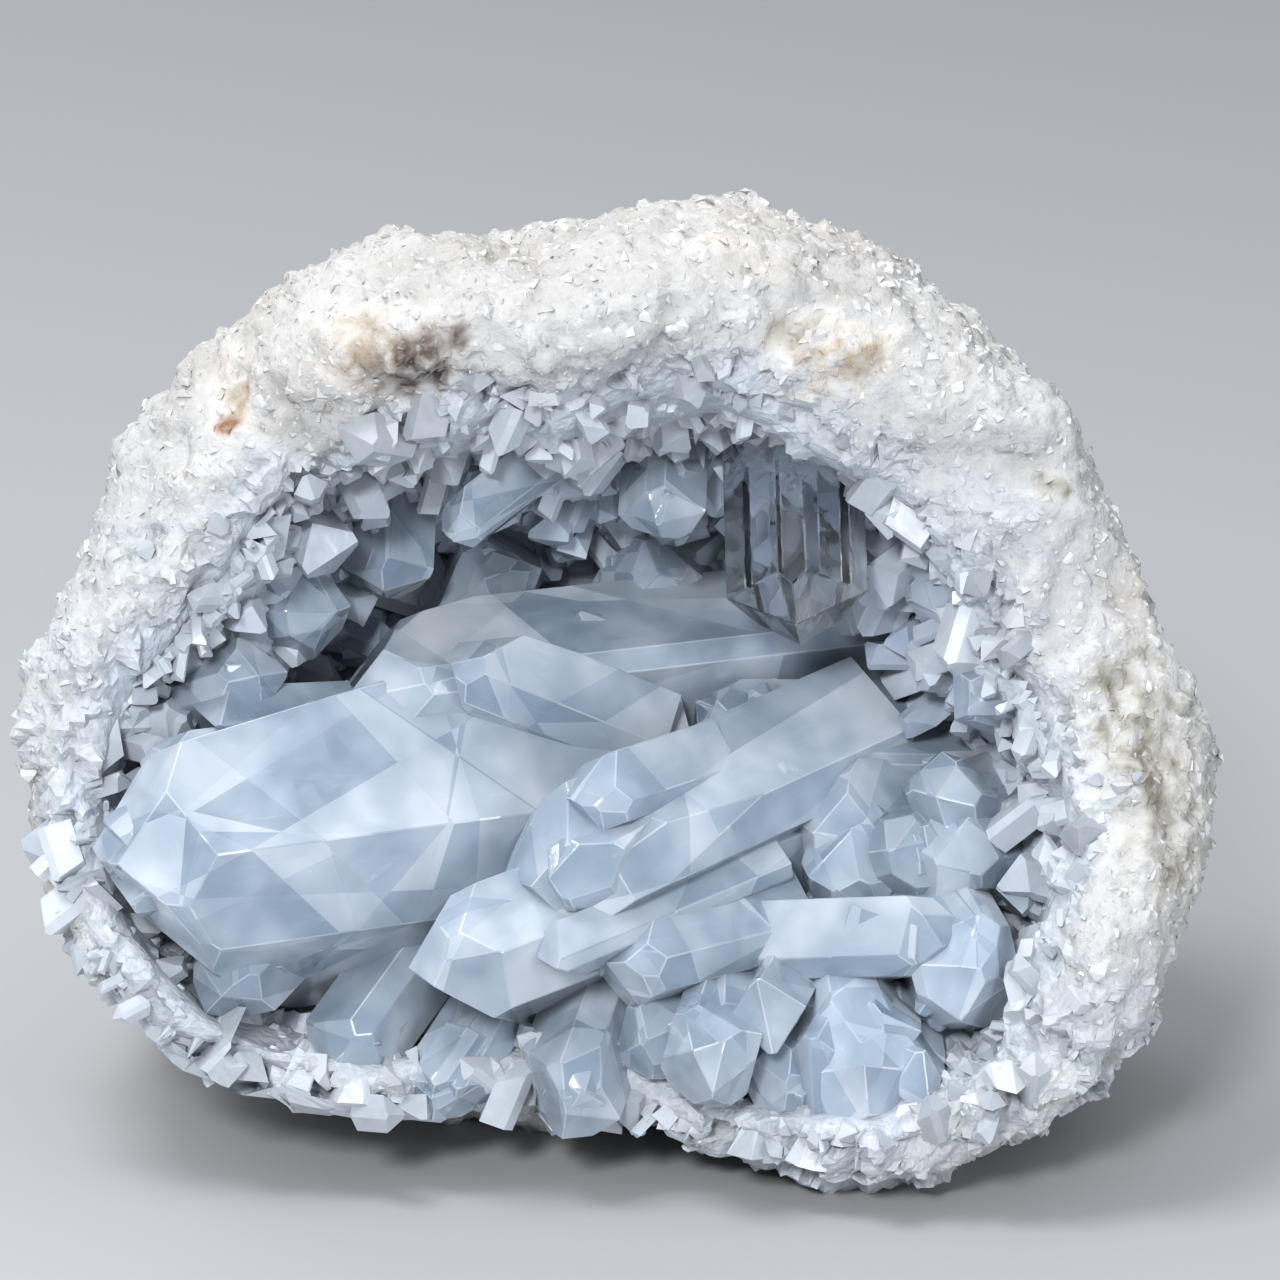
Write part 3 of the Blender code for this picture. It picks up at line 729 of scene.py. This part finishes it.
# The large crystals lie across the hollow's floor and hang from its roof. Each is one celestite
# crystal with thinner ones grown alongside it, clear in parts and clouded with veils in others.
# Where each is rooted, its tip, the way across its broad side, width, thickness, tip slopes,
# how much of its ridge is flat, how milky it is, and how many pairs of crystals grew alongside.
LARGE_CRYSTALS = {
    "left_blade": ((4, -10, -9), (-45.6, -16.0, 14), (0.05, 1, 0.35), 30, 18, (34, 50), 0.25, 0.5, 3),
    "centre_block": ((24, 4, -17), (-24.5, -1.5, 3.5), (0.1, 1, -0.25), 17, 16, (46, 30), 0.75, 0.6, 3),
    "right_block": ((36, -8, -12), (6, -7, 1), (0.1, 1, -0.3), 19, 13, (24, 24), 0.9, 0.7, 2),
    "lower_blade": ((22, -11, -7), (-16.2, -24.5, 16), (0.3, 0.95, 0.1), 14, 12, (22, 50), 0.25, 0.45, 2),
    "blade_tip_high": ((-27, -6, 4), (-41.0, -7.5, 11.5), (0.2, 1, 0.3), 8, 7, (40, 52), 0.4, 0.45, 0),
    "blade_tip_front": ((-29, -11, 8), (-42.5, -12.0, 16.0), (0.3, 1, 0.2), 7, 6, (44, 36), 0.5, 0.3, 0),
    "blade_tip_low": ((-30, -15, 9), (-42.0, -17.0, 16.0), (0.2, 1, 0.5), 6, 5, (50, 34), 0.3, 0.2, 0),
    "blade_top_step": ((-23.5, -1.7, 2), (-35.5, -2.2, 8.6), (0.05, 1, 0.3), 5.4, 7, (40, 52), 0.8, 0.4, 0),
    "front_triangle": ((4, -9, 6), (-4.6, -17.2, 17.6), (0.8, 0.6, 0), 9, 7, (52, 36), 0.3, 0.3, 0),
    "front_cleft": ((8, -6, 4), (-3.2, -9.4, 16.5), (0.3, 1, 0.3), 8, 7, (46, 40), 0.4, 0.5, 0),
    "lower_splinter": ((14, -15, 4), (-6.2, -22.8, 17.2), (0.1, 1, 0.2), 6, 5, (34, 56), 0.5, 0.2, 0),
    "middle_blade": ((22, -4, -8), (-7.5, -16.5, 15), (0.35, 0.9, -0.1), 15, 14, (38, 30), 0.3, 0.55, 3),
    "lying_chip": ((3, -4.5, -2), (-15.2, 3.0, 8.2), (0.5, 1, 0.6), 11, 6, (38, 56), 0.2, 0.3, 0),
    "flat_lens": ((11, -22, 4), (29, -21, 12.5), (-0.1, 1, 0.7), 9, 8, (30, 58), 0.4, 0.3, 2),
    "clear_wedge": ((15, -20, 2), (-1.5, -23.5, 14), (0.1, 1, 0.3), 11, 9, (50, 34), 0.3, 0.3, 2),
    "small_cube": ((15, -25, 4), (12.8, -27.6, 17), (1, 0.2, 0.2), 7, 6.6, (16, 20), 0.8, 0.25, 1),
    "end_on_prism": ((10, -27, 4), (7.6, -32.3, 19.5), (1, 0.5, 0), 10, 9.4, (34, 40), 0.5, 0.25, 2),
    "milky_lump": ((20, -26, 0), (21.5, -34.5, 16.5), (1, 0.1, 0), 17, 13, (24, 30), 0.5, 1.0, 3),
    "milky_shoulder": ((28, -20, 0), (31, -26, 14), (1, -0.6, 0), 13, 11, (28, 24), 0.5, 0.95, 3),
    "floor_right": ((31, -13, -8), (16, -11.5, 3), (0.1, 1, 0.4), 13, 11, (30, 26), 0.5, 0.5, 2),
    "floor_corner": ((37, -15, -5), (26.5, -14, 7), (0.3, 1, 0.2), 11, 9, (34, 24), 0.4, 0.5, 2),
    "small_gable": ((28.5, -12, -6), (24, -15.5, 8), (1, 0.2, 0), 10, 7.5, (42, 38), 0.2, 0.3, 1),
    "lip_fill_left": ((6, -25, 2), (3.2, -31.6, 13.5), (1, 0.5, 0.2), 9, 8, (36, 30), 0.4, 0.5, 1),
    "lip_fill_right": ((15, -26, 2), (14.6, -35.2, 14), (1, -0.3, 0.2), 9, 8, (30, 44), 0.4, 0.6, 1),
    "floor_fill": ((25, -12, -8), (18.6, -17.2, 6.5), (0.5, 1, 0.2), 11, 9, (34, 28), 0.4, 0.6, 1),
    "lip_prism": ((0, -24, 2), (-5.0, -37.2, 14), (1, -0.4, 0.1), 10, 8, (30, 50), 0.3, 0.15, 2),
    "lip_plate": ((-8, -25, 2), (-15.5, -36.2, 11), (1, -0.5, 0.2), 9, 6, (52, 28), 0.5, 0.2, 2),
    "lip_stub": ((-18, -24, 1), (-24.5, -33.0, 10), (1, -0.6, 0), 9, 7.5, (36, 36), 0.4, 0.35, 2),
    "lip_corner": ((-27, -19, 2), (-34.5, -27.0, 11), (0.7, -0.7, 0), 8.5, 7, (44, 30), 0.4, 0.2, 2),
    "hanging_prism": ((15.3, 28, 1), (15.9, 4.8, 8.5), (1, 0, 0.12), 12.4, 10, (31, 31), 0.55, 0.0, 0),
    "hanging_left": ((-19.7, 23, -6), (-20.2, 8.2, -2), (1, 0.1, 0.1), 8.4, 6.5, (26, 34), 0.6, 0.3, 2),
    "hanging_corner": ((-31, 21, -1), (-29.8, 9.0, 4.5), (1, 0, 0.3), 6.4, 6, (20, 34), 0.6, 0.3, 1),
    "roof_plate": ((-4, 22, 1), (-14.6, 13.4, 8), (0.4, 1, 0.3), 7.6, 4.6, (26, 44), 0.6, 0.2, 1),
    "roof_stub": ((4.5, 22, -3), (4.0, 13.5, 4), (1, 0.1, 0.2), 8, 6, (30, 36), 0.5, 0.3, 1),
    "right_wall_block": ((38, 12, -6), (26.5, 7.5, 6), (0.3, 1, 0.2), 11, 9, (28, 38), 0.5, 0.5, 2),
    "right_wall_glint": ((39, -2, -2), (30.2, 1.2, 9.5), (0.3, 1, 0.5), 8, 7, (40, 24), 0.4, 0.3, 1),
    "right_wall_low": ((36, -11, -6), (26.5, -8.8, 6), (0.1, 1, 0.2), 9.5, 8, (30, 40), 0.4, 0.4, 2),
    "back_right": ((25, 14, -20), (20.5, 6.5, -5), (1, 0.4, 0), 9, 8, (36, 32), 0.4, 0.5, 1),
    "back_middle": ((4, 12, -21), (2.5, 8.5, -8), (1, 0, 0.2), 11, 8.5, (30, 38), 0.5, 0.5, 1),
    "back_left": ((-12, 12, -20), (-11, 8.0, -6), (1, 0.3, 0.2), 10, 8, (38, 28), 0.4, 0.5, 1),
    "left_wall_prism": ((-36, 6, -5), (-24, 7.0, 2.5), (0, 1, 0.3), 8.5, 7, (34, 40), 0.3, 0.3, 1),
    "left_wall_low": ((-38, -1, 0), (-29.5, 1.5, 8), (0.1, 1, 0.2), 8, 7, (40, 30), 0.4, 0.35, 1),
}
ALONGSIDE_SEED = 14
FACETS_PER_WIDTH, MOST_FACETS = 0.38, 11  # corners broken off for each mm of a crystal's width
PATCHES_PER_WIDTH = 0.55  # cuts across a crystal for each mm of its width
PATCH_TILT = 0.13
EDGE_STRIP = 0.09  # the width of the bevelled strip along every edge, in mm, which the finish paints whiter as a painted highlight
SORTING_WAY = Vector((1.0, 0.577, 0.313))  # points and faces are numbered along this way


def sort_by_place(mesh):
    """Gives points and faces the same order on every run, which bmesh's cuts and bevels don't."""
    mesh.verts.sort(key=lambda vert: vert.co.dot(SORTING_WAY))
    mesh.faces.sort(key=lambda face: face.calc_center_median().dot(SORTING_WAY))


def mark_patches(crystal, width, length, draw, tilted):
    """Splits the faces into angular patches, each leaning its own way as stepped growth shows it, and each
    a little more or less milky and whiter than the next, which is painted reflection from inside the
    crystal."""
    for _ in range(int(width * PATCHES_PER_WIDTH)):
        middle = Vector((draw.uniform(-0.4, 0.4) * width, draw.uniform(-0.3, 0.3) * width, 0))
        middle.z = length * draw.uniform(0.25, 1.0)
        direction = Vector([draw.gauss(0, 1) for _ in range(3)]).normalized()
        everything = [*crystal.verts, *crystal.edges, *crystal.faces]
        bmesh.ops.bisect_plane(
            crystal, geom=everything, dist=1e-4, plane_co=middle, plane_no=direction
        )
    sort_by_place(crystal)
    # each patch's shade makes it milkier and whiter in the finish: painted reflections from inside the
    # crystal
    shade = crystal.faces.layers.float.new("shade")
    tilt = crystal.faces.layers.float_vector.new("tilt")
    for face in crystal.faces:
        face[shade] = draw.random()
        face[tilt] = Vector([draw.uniform(-1, 1) for _ in range(3)]) * tilted


def stood_on(along, across):
    """The way across, made square to the way along."""
    return (Vector(across) - along * along.dot(Vector(across))).normalized()


def stand_crystal(whole, root, tip, across, width, thickness, slopes, flat, milk, clean=False):
    """Cuts one crystal and adds it to a mesh, standing from root to tip. A clean one has no
    broken corners and no patches."""
    root, tip = Vector(root), Vector(tip)
    along = (tip - root).normalized()
    side = stood_on(along, across)
    length = (tip - root).length
    facets = 0 if clean else min(MOST_FACETS, int(width * FACETS_PER_WIDTH))
    seed = int(100 * (root.x + 3 * root.y + 7 * root.z))
    crystal = cut_crystal(length, width, thickness, slopes, flat, facets, seed)
    edge = crystal.faces.layers.float.new("edge")
    bevelled = bmesh.ops.bevel(
        crystal, geom=crystal.edges[:], offset=EDGE_STRIP, segments=1, affect="EDGES"
    )
    # the bevelled strip is marked so that the finish paints it whiter: a painted highlight along every edge
    for face in bevelled["faces"]:
        face[edge] = 1.0
    patched, tilted = (0.0, 0.0) if clean else (width, PATCH_TILT)
    mark_patches(crystal, patched, length, random.Random(seed), tilted)
    growth = crystal.verts.layers.float_vector.new("growth")
    milky = crystal.verts.layers.float.new("milk")
    for vert in crystal.verts:
        vert[growth] = vert.co
        vert[milky] = milk
    axes = Matrix((side, along.cross(side), along)).transposed().to_4x4()
    crystal.transform(Matrix.Translation(root) @ axes)
    crystal.transform(Matrix.Translation(NODULE_MIDDLE) @ FACE.to_4x4() @ Matrix.Scale(MM, 4))
    data = bpy.data.meshes.new("crystal")
    crystal.to_mesh(data)
    crystal.free()
    whole.from_mesh(data)
    bpy.data.meshes.remove(data)


def grow_crystals(name, chosen, clean=False):
    """The chosen crystals, each with the thinner ones that grew alongside it."""
    draw = random.Random(ALONGSIDE_SEED)
    whole = bmesh.new()
    for root, tip, across, width, thickness, slopes, flat, milk, alongside in chosen:
        stand_crystal(whole, root, tip, across, width, thickness, slopes, flat, milk, clean)
        way = (Vector(tip) - Vector(root)).normalized()
        long = (Vector(tip) - Vector(root)).length
        side = stood_on(way, across)
        for _ in range(2 * alongside):
            # it leaves the first crystal near its middle and ends beside it, short of its tip
            wide, thick = width * draw.uniform(0.28, 0.6), thickness * draw.uniform(0.4, 0.6)
            end_at = long * draw.uniform(0.55, 0.96)
            start_at = end_at - min(long * 0.6, draw.uniform(1.0, 2.2) * wide)
            turn = draw.uniform(0, 2 * math.pi)
            out = side * math.cos(turn) * (width - wide) * 0.5
            out += way.cross(side) * math.sin(turn) * (thickness - thick) * 0.5
            lean = Vector([draw.uniform(-1, 1) for _ in range(3)]) * (end_at - start_at) * 0.22
            base = Vector(root) + way * start_at + out * 0.35 + lean
            end = Vector(root) + way * end_at + out * draw.uniform(0.85, 1.05)
            steeper = [slope * draw.uniform(0.8, 1.2) for slope in slopes]
            cloudy = milk * draw.uniform(0.5, 1.1)
            stand_crystal(whole, base, end, across, wide, thick, steeper, flat, cloudy)
    return new_piece(name, whole)


def large_crystal_finish(name, milk, clear, cloudiness, absorbing=False):
    """Clear crystal with milky clouds in it, and faces that are frosted here and there, with a painted
    highlight along every edge and patches painted milkier and whiter as reflections from inside. The growth
    attribute has each crystal's own places in mm, along Z from its root."""
    finish, start = new_finish(name)
    growth = attribute(start, "growth", "Vector")
    cloud = start.make("ShaderNodeTexNoise", None, {
        "Vector": growth, "Scale": 0.13, "Detail": 2.0,
    })
    drawn_out = start.make("ShaderNodeMapping", None, {"Vector": growth, "Scale": (1.0, 1.0, 0.3)})
    frost = start.make("ShaderNodeTexNoise", None, {
        "Vector": drawn_out, "Scale": 0.8, "Detail": 3.0, "Roughness": 0.6,
    })
    frosted = frost.between(0.55, 0.75)
    # edge marks the bevelled strip, which is painted milkier and whiter as a painted highlight
    edge = attribute(start, "edge")
    # shade paints each patch milkier and whiter, as painted reflections from inside the crystal
    shade = attribute(start, "shade")
    veil = cloud.between(0.35, 0.65) * 0.2 + attribute(start, "milk") * 0.14
    veil = veil + edge * 0.06 + cloudiness + frosted * 0.05 + shade * 0.22
    leaning = start.make("ShaderNodeVectorMath", {"operation": "ADD"}, {
        0: start.make("ShaderNodeNewGeometry", output="Normal"),
        1: attribute(start, "tilt", "Vector"),
    })
    patch = start.make("ShaderNodeVectorMath", {"operation": "NORMALIZE"}, {0: leaning})
    bump = bumped(start, frost, 0.08, 0.2, Normal=patch)
    # whiter in the milky clouds, and painted whiter in patches and along the edges as painted reflections
    # and highlights
    whiter = cloud.between(0.3, 0.8) * 0.5 + shade * 0.4 + edge * 0.2
    colour = whiter.mixed(milk, (0.89, 0.94, 1.0, 1))
    sockets = {"Surface": clouded(
        start, veil, crystal_shader(start, clear, 0.02 + frosted * 0.1, bump, **SEE_THROUGH),
        crystal_shader(start, colour, 0.05 + frosted * 0.15, bump),
    )}
    if absorbing:
        sockets["Volume"] = start.make(
            "ShaderNodeVolumeAbsorption", None, {"Color": (0.45, 0.68, 1.0, 1), "Density": 12.0}
        )
    start.make("ShaderNodeOutputMaterial", None, sockets)
    return finish


in_hollow = [values for key, values in LARGE_CRYSTALS.items() if key != "hanging_prism"]
large = grow_crystals("large_crystals", in_hollow)
large.data.materials.append(large_crystal_finish(
    "pale_blue_celestite", (0.56, 0.75, 0.99, 1), (0.92, 0.97, 1.0, 1), 0.26
))
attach(large, "root")
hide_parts("crystal_crust")

# The clearest crystal hangs from the roof over the hollow, a stout prism with a six-sided point
# whose tip faces show the light behind it. It grew down out of the lining.
hanging = grow_crystals("hanging_prism", [LARGE_CRYSTALS["hanging_prism"]], clean=True)
hanging.data.materials.append(large_crystal_finish(
    "water_clear_celestite", (0.80, 0.88, 0.98, 1), (1.0, 1.0, 1.0, 1), -0.22, absorbing=True
))
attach(hanging, "root")

# The studio: a plain pale floor, soft lights overhead, beside the camera and behind the
# specimen, and a camera that looks straight at the broken side from a little above it.
FLOOR_HALF = 2.0
LENS, SENSOR, CAMERA_AWAY = 160.0, 36.0, 0.5
LOOK_RIGHT, LOOK_UP = 2.2, 4.4  # the middle of the view, from the nodule's middle, in mm
LIT_MIDDLE = Vector((0, 0, 0.04))
SKY_STRENGTH = 0.62


def soft_light(name, place, power, size, colour=(1.0, 1.0, 1.0)):
    """A rectangle of light that faces the specimen, with its power in watts."""
    lamp = bpy.data.lights.new(name, "AREA")
    lamp.shape = "RECTANGLE"
    lamp.energy, lamp.color = power, colour
    lamp.size, lamp.size_y = size
    made = bpy.data.objects.new(name, lamp)
    made.location = place
    made.rotation_euler = (LIT_MIDDLE - Vector(place)).to_track_quat("-Z", "Y").to_euler()
    bpy.context.scene.collection.objects.link(made)


floor_mesh = bmesh.new()
bmesh.ops.create_grid(floor_mesh, x_segments=1, y_segments=1, size=FLOOR_HALF)
floor = new_piece("studio_floor", floor_mesh)
floor_finish, floor_start = new_finish("pale_floor")
floor_surface = floor_start.make(
    "ShaderNodeBsdfPrincipled", None, {"Base Color": (0.50, 0.51, 0.53, 1), "Roughness": 0.7}
)
floor_start.make("ShaderNodeOutputMaterial", None, {"Surface": floor_surface})
floor.data.materials.append(floor_finish)

soft_light("overhead_light", (-0.22, -0.10, 0.62), 1.8, (0.22, 0.22))
soft_light("front_light", (-0.18, -0.75, 0.50), 4.6, (0.16, 0.16))
soft_light("fill_light", (0.6, -0.75, 0.22), 2.0, (0.2, 0.4), (0.95, 0.97, 1.0))
soft_light("back_light", (-0.5, 0.6, 0.5), 1.2, (0.5, 0.4))

world = bpy.data.worlds.new("studio_air")
world.use_nodes = True
world.node_tree.nodes.clear()
air = Wire(world.node_tree)
sky = air.make("ShaderNodeTexCoord", output="Generated")
height = air.make("ShaderNodeSeparateXYZ", None, {0: sky}, "Z")
shade = height.between(-0.1, 0.9).mixed((0.26, 0.28, 0.32, 1), (0.95, 0.97, 1.0, 1))
glow = air.make("ShaderNodeBackground", None, {"Color": shade, "Strength": SKY_STRENGTH})
air.make("ShaderNodeOutputWorld", None, {"Surface": glow})
bpy.context.scene.world = world
bpy.context.scene.view_settings.view_transform = "Standard"
# few bounces are enough to see into the crystals, and keep the render short
light_paths = bpy.context.scene.cycles
light_paths.max_bounces = light_paths.transmission_bounces = 5
light_paths.diffuse_bounces, light_paths.glossy_bounces = 1, 2

camera_data = bpy.data.cameras.new("camera")
camera_data.lens, camera_data.sensor_width = LENS, SENSOR
camera_data.clip_start = 0.01
camera = bpy.data.objects.new("camera", camera_data)
right, up, towards = (FACE.col[i].copy() for i in range(3))
look_at = NODULE_MIDDLE + right * LOOK_RIGHT * MM + up * LOOK_UP * MM
camera.location = look_at + towards * CAMERA_AWAY
camera.rotation_euler = (-towards).to_track_quat("-Z", "Y").to_euler()
bpy.context.scene.collection.objects.link(camera)
bpy.context.scene.camera = camera
